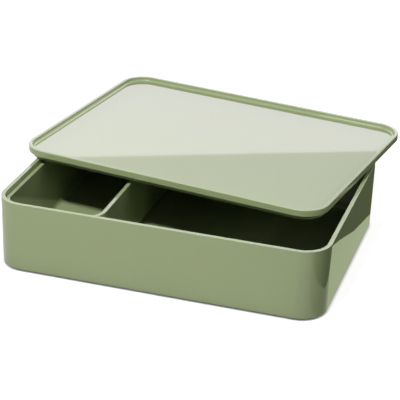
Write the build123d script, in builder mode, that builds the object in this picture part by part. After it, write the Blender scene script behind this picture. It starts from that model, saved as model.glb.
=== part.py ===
from build123d import *
import math
import os

# Desk box for A4 papers: an open box on four feet, a loose lid with a tray-like top, and one narrow
# insert tray that stands inside. The lid lies askew on the box's rim, as it is put down when somebody
# reaches into the box.
#
# Millimetres. The origin is the middle of the box's footprint on the desk. +X points to the right,
# +Y to the back and +Z up.

os.makedirs("parts", exist_ok=True)

# Box
box_width = 320.0  # outside, at the rim
box_depth = 243.0  # outside, at the rim
rim_height = 70.5  # from the desk to the rim
corner_radius = 26.0  # of the upright corners, outside, at the rim
box_wall = 4.0
box_floor = 3.0
mould_draft = 0.5  # degrees that the walls of the box and of the tray lean inwards on the way down
box_rim_rounding = 0.8
box_base_rounding = 2.0
box_inner_rounding = 5.0  # between the inside walls and the floor

# Feet, glued into shallow recesses in the box's underside
foot_diameter = 14.0
foot_thickness = 1.6
foot_edge_rounding = 0.4
foot_recess_depth = 0.6
foot_recess_clearance = 0.25  # around a foot
foot_inset = 32.0  # from the box's sides to the middle of a foot

# Insert tray
tray_width = 100.0  # outside, at its rim
tray_wall = 3.8
tray_floor = 2.5
tray_side_gap = 0.3  # to the box's wall at the left
tray_end_gap = 1.1  # to the box's walls at the front and the back
tray_rim_rounding = 0.8
tray_base_rounding = 6.5
tray_inner_rounding = 5.0
tray_lid_clearance = 0.3  # under the flange of the closed lid

# Lid
lid_plate = 2.2
lid_rim_width = 3.8
lid_rim_height = 4.3  # above the plate
lid_edge_rounding = 0.9  # of both edges of the raised rim
lid_underside_rounding = 0.4
lid_inner_rounding = 2.6  # between the raised rim and the plate
flange_height = 4.6  # below the plate
flange_wall = 2.2
flange_clearance = 0.4  # to the box's inside walls, with the lid closed
flange_edge_rounding = 0.4

# Where the lid lies: its middle from the box's middle, and its turn seen from above
lid_shift_right = -1.5
lid_shift_back = 79.0
lid_turn = -8.3  # degrees

# Levels above the desk
base_level = foot_thickness - foot_recess_depth
floor_level = base_level + box_floor
tray_rim_level = rim_height - flange_height - tray_lid_clearance
lid_level = rim_height + flange_height  # underside of the lid's plate, its flange standing on the rim

# Inside of the box at its rim
inner_width = box_width - 2 * box_wall
inner_depth = box_depth - 2 * box_wall
inner_radius = corner_radius - box_wall

# Box: an open shell with drafted walls, and four recesses for the feet
foot_spacing_x = box_width - 2 * foot_inset
foot_spacing_y = box_depth - 2 * foot_inset

with BuildPart() as box:
    with BuildSketch(Plane.XY.offset(rim_height)):
        RectangleRounded(box_width, box_depth, corner_radius)
    extrude(amount=-(rim_height - base_level), taper=mould_draft)
    fillet(box.edges().group_by(Axis.Z)[0], box_base_rounding)
    with BuildSketch(Plane.XY.offset(rim_height)):
        RectangleRounded(inner_width, inner_depth, inner_radius)
    extrude(amount=-(rim_height - floor_level), taper=mould_draft, mode=Mode.SUBTRACT)
    inside_floor = box.faces().filter_by(Axis.Z).sort_by(Axis.Z)[1]
    fillet(inside_floor.edges(), box_inner_rounding)
    fillet(box.edges().group_by(Axis.Z)[-1], box_rim_rounding)
    with BuildSketch(Plane.XY.offset(base_level)):
        with GridLocations(foot_spacing_x, foot_spacing_y, 2, 2):
            Circle(foot_diameter / 2 + foot_recess_clearance)
    extrude(amount=foot_recess_depth, mode=Mode.SUBTRACT)

box.part.label = "box"
export_step(box.part, "parts/box.step")

# Feet: rubber discs, their undersides on the desk
for end, end_side in (("front", -1), ("rear", 1)):
    for hand, hand_side in (("left", -1), ("right", 1)):
        foot_place = Plane((hand_side * foot_spacing_x / 2, end_side * foot_spacing_y / 2, 0))
        with BuildPart() as foot:
            with BuildSketch(foot_place):
                Circle(foot_diameter / 2)
            extrude(amount=foot_thickness)
            fillet(foot.edges().group_by(Axis.Z)[0], foot_edge_rounding)

        foot.part.label = f"foot_{end}_{hand}"
        export_step(foot.part, f"parts/foot_{end}_{hand}.step")

# Insert tray: stands on the box's floor at the left, with the same lean as the walls, so that its gaps
# stay the same along its whole height
narrowing = (rim_height - tray_rim_level) * math.tan(math.radians(mould_draft))
tray_depth = inner_depth - 2 * narrowing - 2 * tray_end_gap
tray_radius = inner_radius - narrowing - tray_end_gap
tray_middle = -inner_width / 2 + narrowing + tray_side_gap + tray_width / 2
tray_rim = Plane((tray_middle, 0, tray_rim_level))

with BuildPart() as insert_tray:
    with BuildSketch(tray_rim):
        RectangleRounded(tray_width, tray_depth, tray_radius)
    extrude(amount=-(tray_rim_level - floor_level), taper=mould_draft)
    fillet(insert_tray.edges().group_by(Axis.Z)[0], tray_base_rounding)
    with BuildSketch(tray_rim):
        RectangleRounded(tray_width - 2 * tray_wall, tray_depth - 2 * tray_wall, tray_radius - tray_wall)
    extrude(amount=-(tray_rim_level - floor_level - tray_floor), taper=mould_draft, mode=Mode.SUBTRACT)
    tray_inside_floor = insert_tray.faces().filter_by(Axis.Z).sort_by(Axis.Z)[1]
    fillet(tray_inside_floor.edges(), tray_inner_rounding)
    fillet(insert_tray.edges().group_by(Axis.Z)[-1], tray_rim_rounding)

insert_tray.part.label = "insert_tray"
export_step(insert_tray.part, "parts/insert_tray.step")

# Lid: a plate of the box's outline with a raised rim on top, and a flange below that drops into the box
lid_underside = Plane((lid_shift_right, lid_shift_back, lid_level)).rotated((0, 0, lid_turn))
flange_inset = box_wall + flange_clearance

with BuildPart() as lid:
    with BuildSketch(lid_underside):
        RectangleRounded(box_width, box_depth, corner_radius)
    extrude(amount=lid_plate + lid_rim_height)
    with BuildSketch(lid_underside.offset(lid_plate)):
        RectangleRounded(
            box_width - 2 * lid_rim_width, box_depth - 2 * lid_rim_width, corner_radius - lid_rim_width
        )
    extrude(amount=lid_rim_height, mode=Mode.SUBTRACT)
    lid_top_plate = lid.faces().filter_by(Axis.Z).sort_by(Axis.Z)[1]
    fillet(lid_top_plate.edges(), lid_inner_rounding)
    fillet(lid.edges().group_by(Axis.Z)[-1], lid_edge_rounding)
    fillet(lid.edges().group_by(Axis.Z)[0], lid_underside_rounding)
    with BuildSketch(lid_underside):
        RectangleRounded(
            box_width - 2 * flange_inset, box_depth - 2 * flange_inset, corner_radius - flange_inset
        )
        offset(amount=-flange_wall, mode=Mode.SUBTRACT)
    extrude(amount=-flange_height)
    fillet(lid.edges().group_by(Axis.Z)[0], flange_edge_rounding)

lid.part.label = "lid"
export_step(lid.part, "parts/lid.step")
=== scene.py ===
import math

import bmesh
import bpy
from mathutils import Matrix, Vector


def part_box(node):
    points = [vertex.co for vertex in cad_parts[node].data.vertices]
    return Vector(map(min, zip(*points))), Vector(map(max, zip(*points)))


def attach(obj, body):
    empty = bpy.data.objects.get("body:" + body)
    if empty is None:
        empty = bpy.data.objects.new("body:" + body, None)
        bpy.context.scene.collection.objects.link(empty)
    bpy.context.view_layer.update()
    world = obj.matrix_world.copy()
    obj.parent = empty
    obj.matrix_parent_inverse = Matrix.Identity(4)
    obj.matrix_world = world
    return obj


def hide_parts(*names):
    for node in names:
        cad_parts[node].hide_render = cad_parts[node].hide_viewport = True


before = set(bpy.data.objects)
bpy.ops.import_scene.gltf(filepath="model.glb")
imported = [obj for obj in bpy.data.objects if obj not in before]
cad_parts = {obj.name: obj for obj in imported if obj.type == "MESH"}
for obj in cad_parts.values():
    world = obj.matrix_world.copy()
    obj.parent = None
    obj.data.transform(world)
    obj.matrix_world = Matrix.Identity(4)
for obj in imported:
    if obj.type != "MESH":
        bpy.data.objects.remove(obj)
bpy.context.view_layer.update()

# Desk box of glossy moulded plastic: an open box on four rubber feet, a loose lid with a raised rim
# that lies askew on the box, and a narrow insert tray at the left. Everything is in metres, in the
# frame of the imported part: +X to the right, +Y to the back, +Z up, the desk at z = 0.

MM = 0.001

# --- Maker's sizes that the frame's boxes don't give ---------------------------------------------------
CORNER_RADIUS = 26.0 * MM  # of the upright corners of the box and the lid, outside
MOULD_DRAFT = math.radians(0.5)  # lean of the walls of the box and the tray, inwards on the way down
RIM_ROUNDING = 0.35 * MM  # of the rims of the box and the tray
INNER_ROUNDING = 5.0 * MM  # between their inside walls and their floors

BOX_WALL = 4.0 * MM
BOX_FLOOR = 3.0 * MM
BOX_BASE_ROUNDING = 2.0 * MM

TRAY_WALL = 3.8 * MM
TRAY_FLOOR = 2.5 * MM
TRAY_CORNER_RADIUS = 20.9 * MM
TRAY_BASE_ROUNDING = 6.5 * MM

LID_RIM_WIDTH = 3.8 * MM
LID_RIM_HEIGHT = 4.3 * MM
LID_EDGE_ROUNDING = 0.9 * MM  # of both edges of the raised rim
LID_INNER_ROUNDING = 2.6 * MM  # between the raised rim and the plate
LID_UNDERSIDE_ROUNDING = 0.4 * MM
LID_TURN = math.radians(-8.3)  # as the lid lies, seen from above

FLANGE_HEIGHT = 4.6 * MM  # below the lid's plate
FLANGE_WALL = 2.2 * MM
FLANGE_CLEARANCE = 0.4 * MM  # to the box's inside walls, with the lid closed
FLANGE_EDGE_ROUNDING = 0.4 * MM

FOOT_RECESS_DEPTH = 0.6 * MM
FOOT_RECESS_CLEARANCE = 0.25 * MM  # around a foot
FOOT_EDGE_ROUNDING = 0.4 * MM
FOOT_DISH_BORDER = 1.8 * MM
FOOT_DISH_DEPTH = 0.25 * MM

# The shallow round mark that the mould's gate leaves in an underside.
GATE_RADIUS = 3.0 * MM
GATE_DEPTH = 0.3 * MM

CORNER_STEPS = 28  # facets in the quarter turn of an upright corner
ROUNDING_STEPS = 5  # facets across a small rounding
CIRCLE_STEPS = 64  # facets around a foot, a recess or a gate mark
SAME_LEVEL = 0.01 * MM  # heights nearer than this count as one
SAME_POINT = 0.001 * MM  # points nearer than this are merged
NEARLY_UPRIGHT = 0.99  # how much of an upright edge, or of a level face's normal, lies along Z
SHARP_ANGLE = math.radians(40)  # edges that bend more than this stay crisp

FEET = [node for node in sorted(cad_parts) if node.startswith("foot_")]


# --- Modelling helpers -----------------------------------------------------------------------------------
def upright_edges(bm):
    """The edges of a block that run along Z."""
    return [e for e in bm.edges if abs((e.verts[0].co - e.verts[1].co).normalized().z) > NEARLY_UPRIGHT]


def level_face(bm, level, upwards):
    """The largest level face at a height that looks up or down."""
    sign = 1 if upwards else -1
    found = [
        f for f in bm.faces
        if abs(f.calc_center_median().z - level) < SAME_LEVEL and sign * f.normal.z > NEARLY_UPRIGHT
    ]
    return max(found, key=lambda f: f.calc_area())


def rim_edges(bm, level):
    """The edges at a height where a level face meets a wall."""
    return [
        e for e in bm.edges
        if all(abs(v.co.z - level) < SAME_LEVEL for v in e.verts)
        and e.calc_face_angle(0) > SHARP_ANGLE
    ]


def round_edges(bm, edges, radius, steps=ROUNDING_STEPS):
    """Rounds edges to a radius."""
    bmesh.ops.bevel(
        bm, geom=edges, offset=radius, offset_type="OFFSET", affect="EDGES",
        segments=steps, profile=0.5, material=-1, clamp_overlap=True,
    )
    bm.normal_update()


def rounded_block(bm, width, depth, low, high, corner):
    """A block with rounded upright corners between two levels."""
    bmesh.ops.create_cube(bm, size=1.0)
    bmesh.ops.scale(bm, vec=(width, depth, high - low), verts=bm.verts)
    bmesh.ops.translate(bm, vec=(0, 0, (high + low) / 2), verts=bm.verts)
    round_edges(bm, upright_edges(bm), corner, CORNER_STEPS)


def narrow(bm, face, amount):
    """Draws a level face's outline in by an amount on every side."""
    half_x = max(v.co.x for v in face.verts)
    half_y = max(v.co.y for v in face.verts)
    bmesh.ops.scale(bm, vec=(1 - amount / half_x, 1 - amount / half_y, 1), verts=face.verts)


def sink_pocket(bm, face, border, depth, lean=0.0):
    """Sinks a pocket into an upper face, with a border left around it and walls that lean in."""
    bmesh.ops.inset_region(bm, faces=[face], thickness=border, use_even_offset=True)
    bottom = bmesh.ops.extrude_discrete_faces(bm, faces=[face])["faces"][0]
    bmesh.ops.translate(bm, vec=(0, 0, -depth), verts=bottom.verts)
    narrow(bm, bottom, depth * math.tan(lean))
    bm.normal_update()
    return bottom


def drafted_shell(bm, size, low, high, corner, wall, floor, base_rounding):
    """An open tub of a moulding: its walls lean inwards on the way down, and its edges are rounded."""
    rounded_block(bm, size.x, size.y, low, high, corner)
    narrow(bm, level_face(bm, low, False), (high - low) * math.tan(MOULD_DRAFT))
    inside = sink_pocket(bm, level_face(bm, high, True), wall, high - low - floor, MOULD_DRAFT)
    round_edges(bm, list(inside.edges), INNER_ROUNDING)
    round_edges(bm, list(level_face(bm, low, False).edges), base_rounding)
    round_edges(bm, rim_edges(bm, high), RIM_ROUNDING)


def round_recesses(bm, face, recesses):
    """Sinks round recesses into a lower face, each given by its middle, radius and depth."""
    level = face.calc_center_median().z
    outline = list(face.edges)
    bmesh.ops.delete(bm, geom=[face], context="FACES_ONLY")
    rings = []
    for middle, radius, depth in recesses:
        ring = bmesh.ops.create_circle(
            bm, segments=CIRCLE_STEPS, radius=radius, matrix=Matrix.Translation((middle.x, middle.y, level))
        )
        rings.append(list({e for v in ring["verts"] for e in v.link_edges}))
    bmesh.ops.triangle_fill(bm, use_beauty=True, use_dissolve=False, edges=outline + sum(rings, []))
    for ring, (middle, radius, depth) in zip(rings, recesses):
        walls = bmesh.ops.extrude_edge_only(bm, edges=ring)["geom"]
        roof_verts = [v for v in walls if isinstance(v, bmesh.types.BMVert)]
        roof_edges = [e for e in walls if isinstance(e, bmesh.types.BMEdge)]
        bmesh.ops.translate(bm, vec=(0, 0, depth), verts=roof_verts)
        bmesh.ops.contextual_create(bm, geom=roof_edges)


def finished(bm, name, body, node, material):
    """Makes the piece of a mesh that is in place: smooth over its roundings and flat on its walls."""
    bmesh.ops.remove_doubles(bm, verts=bm.verts, dist=SAME_POINT)
    bmesh.ops.recalc_face_normals(bm, faces=bm.faces)
    for edge in bm.edges:
        edge.smooth = edge.calc_face_angle(0) < SHARP_ANGLE
    mesh = bpy.data.meshes.new(name)
    bm.to_mesh(mesh)
    bm.free()
    mesh.shade_smooth()
    mesh.materials.append(material)
    piece = bpy.data.objects.new(name, mesh)
    bpy.context.scene.collection.objects.link(piece)
    even = piece.modifiers.new("even_normals", "WEIGHTED_NORMAL")
    even.weight = 100  # lets the largest faces set the shading
    even.keep_sharp = True
    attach(piece, body)
    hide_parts(node)


# --- Materials ---------------------------------------------------------------------------------------------
SAGE_LIGHT, SAGE_DARK = "#7B8661", "#77825D"
RUBBER_WORN, RUBBER_DARK = "#3C3E38", "#20221E"
PLASTIC_IOR = 1.52
RUBBER_IOR = 1.52


def linear(hex_colour):
    """Linear red, green, blue and alpha of an sRGB hex value."""
    parts = [int(hex_colour[i:i + 2], 16) / 255 for i in (1, 3, 5)]
    return tuple(p / 12.92 if p <= 0.04045 else ((p + 0.055) / 1.055) ** 2.4 for p in parts) + (1.0,)


def per_metre(size):
    """The scale of a pattern whose features have this size in metres."""
    return 1 / size


def add_node(tree, kind, inputs=None, **settings):
    """Adds a node with its settings, and gives each input a value or a link from an output.

    An input goes by its name, or by its number where two share a name.
    """
    made = tree.nodes.new(kind)
    for name, value in settings.items():
        setattr(made, name, value)
    for key, value in (inputs or {}).items():
        if isinstance(value, bpy.types.NodeSocket):
            tree.links.new(value, made.inputs[key])
        else:
            made.inputs[key].default_value = value
    return made


def new_material(name):
    """An empty node material and its tree."""
    material = bpy.data.materials.new(name)
    material.use_nodes = True
    material.node_tree.nodes.clear()
    return material, material.node_tree


def gloss_abs(name, flow_turn):
    """Injection-moulded ABS from a polished steel mould.

    To the eye it is an even opaque colour under a clear, sharp gloss. The pigment follows the melt in
    faint broad streaks, the skin is a trace wavy where the wall shrank, with the faintest orange peel,
    the polish of the steel leaves a fine haze, and handling has left a few hairlines that show only in
    the reflections.
    """
    streak, along_streak = 60 * MM, 0.25
    hairline, along_hairline, hairline_turn = 0.9 * MM, 0.02, math.radians(38)
    warp, warp_height = 70 * MM, 0.006 * MM
    peel, peel_height = 1.6 * MM, 0.0001 * MM
    haze = 4 * MM
    material, tree = new_material(name)
    place = add_node(tree, "ShaderNodeTexCoord").outputs["Object"]
    along_flow = add_node(tree, "ShaderNodeMapping", {
        "Vector": place, "Rotation": (0, 0, flow_turn), "Scale": (1.0, along_streak, 1.0),
    }).outputs["Vector"]
    pigment = add_node(tree, "ShaderNodeTexNoise", {
        "Vector": along_flow, "Scale": per_metre(streak), "Detail": 3.0, "Distortion": 0.6,
    }).outputs["Fac"]
    colour = add_node(tree, "ShaderNodeMix", {
        "Factor": pigment, "A": linear(SAGE_DARK), "B": linear(SAGE_LIGHT),
    }, data_type="RGBA").outputs["Result"]
    polish = add_node(tree, "ShaderNodeTexNoise", {
        "Vector": place, "Scale": per_metre(haze), "Detail": 4.0, "Roughness": 0.6,
    }).outputs["Fac"]
    across = add_node(tree, "ShaderNodeMapping", {
        "Vector": place, "Rotation": (0, 0, hairline_turn),
        "Scale": (1.0, along_hairline, along_hairline),
    }).outputs["Vector"]
    scratches = add_node(tree, "ShaderNodeTexNoise", {
        "Vector": across, "Scale": per_metre(hairline), "Detail": 2.0,
    }).outputs["Fac"]
    worn = add_node(tree, "ShaderNodeMapRange", {
        "Value": scratches, "From Min": 0.68, "From Max": 0.80, "To Min": 0.0, "To Max": 0.04,
    }).outputs["Result"]
    smooth = add_node(tree, "ShaderNodeMapRange", {
        "Value": polish, "From Min": 0.3, "From Max": 0.7, "To Min": 0.015, "To Max": 0.030,
    }).outputs["Result"]
    roughness = add_node(tree, "ShaderNodeMath", {0: smooth, 1: worn}, operation="ADD").outputs["Value"]
    shrink = add_node(tree, "ShaderNodeTexNoise", {
        "Vector": place, "Scale": per_metre(warp), "Detail": 1.0,
    }).outputs["Fac"]
    wavy = add_node(tree, "ShaderNodeBump", {
        "Height": shrink, "Strength": 1.0, "Distance": warp_height,
    }).outputs["Normal"]
    skin = add_node(tree, "ShaderNodeTexNoise", {
        "Vector": place, "Scale": per_metre(peel), "Detail": 1.0,
    }).outputs["Fac"]
    peeled = add_node(tree, "ShaderNodeBump", {
        "Height": skin, "Normal": wavy, "Strength": 1.0, "Distance": peel_height,
    }).outputs["Normal"]
    shader = add_node(tree, "ShaderNodeBsdfPrincipled", {
        "Base Color": colour, "Roughness": roughness, "IOR": PLASTIC_IOR, "Normal": peeled,
    })
    add_node(tree, "ShaderNodeOutputMaterial", {"Surface": shader.outputs["BSDF"]})
    return material


def foot_elastomer(name):
    """Compression-moulded rubber: dark, matt and slightly mottled, with a fine eroded grain and pale
    rubbed patches where dust and wear have taken the black off."""
    mottle = 3 * MM
    grain, grain_height = 0.35 * MM, 0.05 * MM
    material, tree = new_material(name)
    place = add_node(tree, "ShaderNodeTexCoord").outputs["Object"]
    patches = add_node(tree, "ShaderNodeTexNoise", {
        "Vector": place, "Scale": per_metre(mottle), "Detail": 5.0, "Roughness": 0.65,
    }).outputs["Fac"]
    rubbed = add_node(tree, "ShaderNodeMapRange", {
        "Value": patches, "From Min": 0.45, "From Max": 0.75,
    }).outputs["Result"]
    colour = add_node(tree, "ShaderNodeMix", {
        "Factor": rubbed, "A": linear(RUBBER_DARK), "B": linear(RUBBER_WORN),
    }, data_type="RGBA").outputs["Result"]
    roughness = add_node(tree, "ShaderNodeMapRange", {
        "Value": patches, "From Min": 0.3, "From Max": 0.8, "To Min": 0.62, "To Max": 0.85,
    }).outputs["Result"]
    speckle = add_node(tree, "ShaderNodeTexNoise", {
        "Vector": place, "Scale": per_metre(grain), "Detail": 3.0,
    }).outputs["Fac"]
    normal = add_node(tree, "ShaderNodeBump", {
        "Height": speckle, "Strength": 0.8, "Distance": grain_height,
    }).outputs["Normal"]
    shader = add_node(tree, "ShaderNodeBsdfPrincipled", {
        "Base Color": colour, "Roughness": roughness, "IOR": RUBBER_IOR, "Normal": normal,
    })
    add_node(tree, "ShaderNodeOutputMaterial", {"Surface": shader.outputs["BSDF"]})
    return material


# One plastic, whose melt flows along another line in each moulding.
BOX_PLASTIC = gloss_abs("box_gloss_abs", math.radians(90))
TRAY_PLASTIC = gloss_abs("tray_gloss_abs", 0.0)
LID_PLASTIC = gloss_abs("lid_gloss_abs", LID_TURN)
FOOT_RUBBER = foot_elastomer("foot_rubber")


# --- Pieces ------------------------------------------------------------------------------------------------
GATE_MARK = (Vector((0, 0, 0)), GATE_RADIUS, GATE_DEPTH)


def box_shell():
    """The open box, with recesses for its feet in its underside."""
    low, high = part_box("box")
    bm = bmesh.new()
    drafted_shell(
        bm, high - low, low.z, high.z, CORNER_RADIUS, BOX_WALL, BOX_FLOOR, BOX_BASE_ROUNDING
    )
    recesses = [GATE_MARK]
    for foot in FEET:
        foot_low, foot_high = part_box(foot)
        radius = (foot_high.x - foot_low.x) / 2 + FOOT_RECESS_CLEARANCE
        recesses.append(((foot_low + foot_high) / 2, radius, FOOT_RECESS_DEPTH))
    round_recesses(bm, level_face(bm, low.z, False), recesses)
    finished(bm, "box_shell", "box", "box", BOX_PLASTIC)


def tray_shell():
    """The narrow insert tray, modelled at the middle and then moved to its place."""
    low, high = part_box("insert_tray")
    bm = bmesh.new()
    drafted_shell(
        bm, high - low, low.z, high.z, TRAY_CORNER_RADIUS, TRAY_WALL, TRAY_FLOOR, TRAY_BASE_ROUNDING
    )
    round_recesses(bm, level_face(bm, low.z, False), [GATE_MARK])
    middle = (low + high) / 2
    bmesh.ops.translate(bm, vec=(middle.x, middle.y, 0), verts=bm.verts)
    finished(bm, "tray_shell", "insert_tray", "insert_tray", TRAY_PLASTIC)


def add_flange(bm, underside, half_width):
    """Draws a locating flange down from the lid's underside, to fit inside the box's walls."""
    border = max(v.co.x for v in underside.verts) - half_width
    flange_level = underside.calc_center_median().z - FLANGE_HEIGHT
    bmesh.ops.inset_region(bm, faces=[underside], thickness=border, use_even_offset=True)
    flange = bmesh.ops.inset_region(bm, faces=[underside], thickness=FLANGE_WALL, use_even_offset=True)
    lowered = bmesh.ops.extrude_face_region(bm, geom=flange["faces"])["geom"]
    lowered_verts = [v for v in lowered if isinstance(v, bmesh.types.BMVert)]
    bmesh.ops.translate(bm, vec=(0, 0, -FLANGE_HEIGHT), verts=lowered_verts)
    bmesh.ops.delete(bm, geom=flange["faces"], context="FACES")
    bm.normal_update()
    round_edges(bm, rim_edges(bm, flange_level), FLANGE_EDGE_ROUNDING)


def lid_shell():
    """The lid: a plate with a raised rim above and a flange below, as wide and deep as the box."""
    low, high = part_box("lid")
    box_low, box_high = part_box("box")
    size = box_high - box_low
    plate_level = low.z + FLANGE_HEIGHT
    bm = bmesh.new()
    rounded_block(bm, size.x, size.y, plate_level, high.z, CORNER_RADIUS)
    well = sink_pocket(bm, level_face(bm, high.z, True), LID_RIM_WIDTH, LID_RIM_HEIGHT)
    round_edges(bm, list(well.edges), LID_INNER_ROUNDING)
    round_edges(bm, rim_edges(bm, high.z), LID_EDGE_ROUNDING)
    round_edges(bm, list(level_face(bm, plate_level, False).edges), LID_UNDERSIDE_ROUNDING)
    add_flange(bm, level_face(bm, plate_level, False), size.x / 2 - BOX_WALL - FLANGE_CLEARANCE)
    round_recesses(bm, level_face(bm, plate_level, False), [GATE_MARK])
    bmesh.ops.rotate(bm, cent=(0, 0, 0), matrix=Matrix.Rotation(LID_TURN, 3, "Z"), verts=bm.verts)
    middle = (low + high) / 2
    bmesh.ops.translate(bm, vec=(middle.x, middle.y, 0), verts=bm.verts)
    finished(bm, "lid_shell", "lid", "lid", LID_PLASTIC)


def foot_pad(node):
    """A rubber disc with rounded edges and a shallow dish in its underside."""
    low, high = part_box(node)
    radius = (high.x - low.x) / 2
    bm = bmesh.new()
    bmesh.ops.create_cone(
        bm, cap_ends=True, segments=CIRCLE_STEPS, radius1=radius, radius2=radius, depth=high.z - low.z,
        matrix=Matrix.Translation((low + high) / 2),
    )
    bm.normal_update()
    round_edges(bm, list(level_face(bm, low.z, False).edges), FOOT_EDGE_ROUNDING)
    underside = level_face(bm, low.z, False)
    bmesh.ops.inset_region(bm, faces=[underside], thickness=FOOT_DISH_BORDER, use_even_offset=True)
    bmesh.ops.inset_region(
        bm, faces=[underside], thickness=FOOT_DISH_DEPTH, depth=-FOOT_DISH_DEPTH, use_even_offset=True
    )
    finished(bm, f"{node}_pad", "box", node, FOOT_RUBBER)


box_shell()
tray_shell()
lid_shell()
for foot in FEET:
    foot_pad(foot)

# --- Camera and studio -------------------------------------------------------------------------------------
PICTURE_WIDTH = 400  # pixels
FOCAL_LENGTH = 1538.0  # pixels
SENSOR_WIDTH = 36.0  # millimetres
CAMERA_PLACE = (0.39517, -1.31283, 0.68335)
CAMERA_TURN = math.radians(16.492)  # to the left of straight back
CAMERA_PITCH = math.radians(24.952)  # below level
CAMERA_ROLL = math.radians(2.052)

STUDIO_MIDDLE = Vector((0, 0, 0.077))  # the softboxes face this point, at the height of the lid

FLOOR_SIZE = 8.0
FLOOR_PALENESS = 0.30
FLOOR_GLOW = 0.45  # as the gloss mirrors it
FLOOR_GLOW_SEEN = 0.85  # as the camera sees it
SHADE_REACH = 3.0 * MM  # how near a piece has to be to darken the floor's glow

AIR_GLOW = 0.13  # as it lights the box
AIR_GLOW_MIRRORED = 1.2
AIR_GLOW_SEEN = 1.0

# Cards that lie beside the box's right wall, by their outlines. The green one brightens the foot of
# the wall, and the black one shows in it as a dark patch with a slanting, bent edge.
GREEN_CARD = [(0.1605, -0.118), (0.3, -0.3), (0.3, 0.3), (0.1605, 0.3)]
BLACK_CARD = [
    (0.164, 0.130), (0.172, 0.080), (0.181, 0.054), (0.190, 0.015), (0.200, -0.070), (0.217, -0.100),
    (0.226, -0.133), (0.240, -0.175), (0.900, -0.750), (0.900, 0.900), (0.100, 0.900),
]
CARD_LIFT = 0.1 * MM  # of each card above the one before it

# The reflector that lies before the box: its sides along X and its reach along Y.
REFLECTOR_SIDES = (-0.90, 0.14)
REFLECTOR_REACH = (-0.13, -0.90)
REFLECTOR_LIFT = 0.5 * MM
REFLECTOR_GLOW = 0.6

# The back wall, which the lid's top mirrors: two bright parts with a wedge of shade between them.
# Each line across it is a height at the wall's middle and a rise for each metre to the left.
WALL_COLOUR = "#F7F0FF"
WALL_AZIMUTH = 106.5
WALL_DISTANCE = 2.4
WALL_HALF_WIDTH = 2.2
WALL_FOOT = (0.77, 0.0)
SHADE_START = (1.0926, 0.0603)
SHADE_END = (1.195, -0.19)
WALL_TOP = (5.0, 0.0)


def link(name, data):
    """Puts a camera, lamp or mesh in the scene."""
    thing = bpy.data.objects.new(name, data)
    bpy.context.scene.collection.objects.link(thing)
    return thing


def studio_camera():
    """The camera, whose focal length in pixels fits the picture's width."""
    data = bpy.data.cameras.new("camera")
    data.sensor_width = SENSOR_WIDTH
    data.lens = FOCAL_LENGTH * SENSOR_WIDTH / PICTURE_WIDTH
    camera = link("camera", data)
    camera.matrix_world = (
        Matrix.Translation(CAMERA_PLACE)
        @ Matrix.Rotation(CAMERA_TURN, 4, "Z")
        @ Matrix.Rotation(math.pi / 2 - CAMERA_PITCH, 4, "X")
        @ Matrix.Rotation(CAMERA_ROLL, 4, "Z")
    )
    bpy.context.scene.camera = camera


def facing_box(azimuth, elevation, distance):
    """The place of a panel that faces the box. Azimuth 0 is at the right and 90 at the back, in degrees."""
    turn, rise = math.radians(azimuth), math.radians(elevation)
    out = Vector((math.cos(turn) * math.cos(rise), math.sin(turn) * math.cos(rise), math.sin(rise)))
    facing = out.to_track_quat("Z", "Y").to_matrix().to_4x4()
    return Matrix.Translation(STUDIO_MIDDLE + out * distance) @ facing


def light_panel(name, place, width, height, brightness):
    """A soft light panel that isn't mirrored in the gloss."""
    data = bpy.data.lights.new(name, "AREA")
    data.shape = "RECTANGLE"
    data.size = width
    data.size_y = height
    data.energy = brightness * math.pi * width * height
    lamp = link(name, data)
    lamp.matrix_world = place
    lamp.visible_camera = False
    lamp.visible_glossy = False


def softbox(name, azimuth, elevation, distance, width, height, brightness):
    """A light panel that stands around the box and faces it."""
    light_panel(name, facing_box(azimuth, elevation, distance), width, height, brightness)


def front_reflector():
    """A pale reflector that lies before the box and lights its front from below."""
    low_x, high_x = REFLECTOR_SIDES
    near_y, far_y = REFLECTOR_REACH
    middle = ((low_x + high_x) / 2, (near_y + far_y) / 2, REFLECTOR_LIFT)
    looking_up = Matrix.Translation(middle) @ Matrix.Rotation(math.pi, 4, "X")
    light_panel("front_reflector", looking_up, high_x - low_x, near_y - far_y, REFLECTOR_GLOW)


def stage_sheet(name, corners, material):
    """A flat sheet that belongs to the studio."""
    bm = bmesh.new()
    bm.faces.new([bm.verts.new(corner) for corner in corners])
    mesh = bpy.data.meshes.new(name)
    bm.to_mesh(mesh)
    bm.free()
    mesh.materials.append(material)
    sheet = link(name, mesh)
    return sheet


def rectangle(width, height):
    """The corners of a level rectangle around the origin."""
    return [Vector((x * width / 2, y * height / 2, 0)) for x, y in ((-1, -1), (1, -1), (1, 1), (-1, 1))]


def only_mirrored(sheet):
    """Leaves a sheet to be seen in the gloss alone: it casts no light or shadow of its own."""
    sheet.visible_camera = False
    sheet.visible_diffuse = False
    sheet.visible_shadow = False


def wall_point(side, height):
    """A point on the studio's back wall, by its distance to the left of the wall's middle and its height."""
    turn = math.radians(WALL_AZIMUTH)
    out = Vector((math.cos(turn), math.sin(turn), 0))
    left = Vector((-math.sin(turn), math.cos(turn), 0))
    return out * WALL_DISTANCE + left * side + Vector((0, 0, height))


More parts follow.
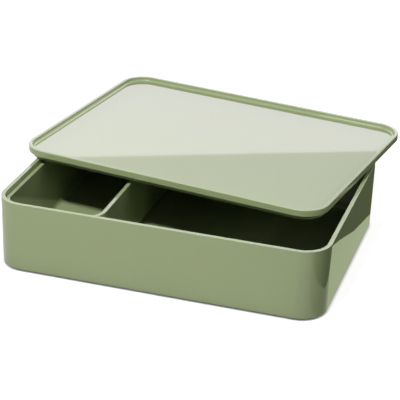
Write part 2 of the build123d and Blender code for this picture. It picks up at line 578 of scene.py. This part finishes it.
def lit_wall(name, low_line, high_line, low_glow, high_glow):
    """The part of the back wall between two lines, whose glow changes evenly from one to the other."""
    right, left = -WALL_HALF_WIDTH, WALL_HALF_WIDTH
    corners = [
        wall_point(side, height + rise * side)
        for side, (height, rise) in (
            (right, low_line), (left, low_line), (left, high_line), (right, high_line),
        )
    ]
    material, tree = new_material(name)
    place = add_node(tree, "ShaderNodeTexCoord").outputs["Object"]
    height = add_node(tree, "ShaderNodeSeparateXYZ", {"Vector": place}).outputs["Z"]
    glow = add_node(tree, "ShaderNodeMapRange", {
        "Value": height, "From Min": low_line[0], "From Max": high_line[0],
        "To Min": low_glow, "To Max": high_glow,
    }).outputs["Result"]
    light = add_node(tree, "ShaderNodeEmission", {
        "Color": linear(WALL_COLOUR), "Strength": glow,
    }).outputs["Emission"]
    add_node(tree, "ShaderNodeOutputMaterial", {"Surface": light})
    only_mirrored(stage_sheet(name, corners, material))


def light_table():
    """The pale floor: a matt white sheet whose glow keeps shadows on it faint; an occlusion mask dims that
    glow near and under the box into painted shade.
    """
    material, tree = new_material("light_table")
    matt = add_node(tree, "ShaderNodeBsdfDiffuse", {"Color": (FLOOR_PALENESS,) * 3 + (1.0,)}).outputs["BSDF"]
    seen = add_node(tree, "ShaderNodeLightPath").outputs["Is Camera Ray"]
    strength = add_node(tree, "ShaderNodeMapRange", {
        "Value": seen, "To Min": FLOOR_GLOW, "To Max": FLOOR_GLOW_SEEN,
    }).outputs["Result"]
    # Painted shade: ambient occlusion darkens the floor's glow near and under the pieces, a painted contact
    # shadow.
    painted_contact_shade = add_node(tree, "ShaderNodeAmbientOcclusion", {"Distance": SHADE_REACH}).outputs["Color"]
    glow = add_node(tree, "ShaderNodeEmission", {
        "Color": painted_contact_shade, "Strength": strength,
    }).outputs["Emission"]
    both = add_node(tree, "ShaderNodeAddShader", {0: matt, 1: glow}).outputs["Shader"]
    add_node(tree, "ShaderNodeOutputMaterial", {"Surface": both})
    floor = stage_sheet("floor", rectangle(FLOOR_SIZE, FLOOR_SIZE), material)
    floor.visible_diffuse = False


def mirrored_sheet(name, colour, glow, corners):
    """A sheet of one colour and glow that shows only as a reflection in the gloss."""
    material, tree = new_material(name)
    light = add_node(tree, "ShaderNodeEmission", {
        "Color": linear(colour), "Strength": glow,
    }).outputs["Emission"]
    add_node(tree, "ShaderNodeOutputMaterial", {"Surface": light})
    only_mirrored(stage_sheet(name, corners, material))


def side_card(name, colour, glow, outline, lift):
    """A card laid flat beside the box."""
    mirrored_sheet(name, colour, glow, [(x, y, lift) for x, y in outline])


def mirrored_softbox(name, azimuth, elevation, distance, width, height, glow):
    """The reflection of a large soft light, which draws the pale lines along the roundings."""
    place = facing_box(azimuth, elevation, distance)
    mirrored_sheet(name, "#FFFFFF", glow, [place @ corner for corner in rectangle(width, height)])


def studio_air():
    """A white surround for the camera that lights the box only a little."""
    world = bpy.data.worlds.new("studio")
    world.use_nodes = True
    tree = world.node_tree
    tree.nodes.clear()
    ray = add_node(tree, "ShaderNodeLightPath")
    unseen = add_node(tree, "ShaderNodeMapRange", {
        "Value": ray.outputs["Is Glossy Ray"], "To Min": AIR_GLOW, "To Max": AIR_GLOW_MIRRORED,
    }).outputs["Result"]
    strength = add_node(tree, "ShaderNodeMapRange", {
        "Value": ray.outputs["Is Camera Ray"], "To Min": unseen, "To Max": AIR_GLOW_SEEN,
    }).outputs["Result"]
    air = add_node(tree, "ShaderNodeBackground", {
        "Color": (1.0, 1.0, 1.0, 1.0), "Strength": strength,
    }).outputs["Background"]
    add_node(tree, "ShaderNodeOutputWorld", {"Surface": air})
    bpy.context.scene.world = world


studio_camera()
light_table()
front_reflector()
side_card("green_card", "#F0FFD2", glow=0.70, outline=GREEN_CARD, lift=CARD_LIFT)
side_card("black_card", "#000000", glow=0.0, outline=BLACK_CARD, lift=2 * CARD_LIFT)
studio_air()
softbox("key", azimuth=262, elevation=53.5, distance=1.6, width=0.20, height=0.14, brightness=460)
softbox("left_low", azimuth=222, elevation=18, distance=2.0, width=0.8, height=0.5, brightness=2.5)
softbox("front_right", azimuth=300, elevation=34, distance=2.0, width=1.2, height=0.8, brightness=0.6)
softbox("right", azimuth=352, elevation=30, distance=2.0, width=1.0, height=0.5, brightness=5)
softbox("right_low", azimuth=60, elevation=6, distance=2.0, width=1.2, height=0.35, brightness=24)
softbox("left_back", azimuth=160, elevation=8, distance=2.0, width=1.2, height=0.35, brightness=22)
mirrored_softbox("overhead", azimuth=262, elevation=58, distance=1.8, width=1.2, height=0.9, glow=8)
lit_wall("wall_low", WALL_FOOT, SHADE_START, low_glow=2.85, high_glow=3.25)
lit_wall("wall_shade", SHADE_START, SHADE_END, low_glow=1.8, high_glow=1.8)
lit_wall("wall_high", SHADE_END, WALL_TOP, low_glow=3.6, high_glow=3.6)
bpy.context.scene.view_settings.view_transform = "Standard"
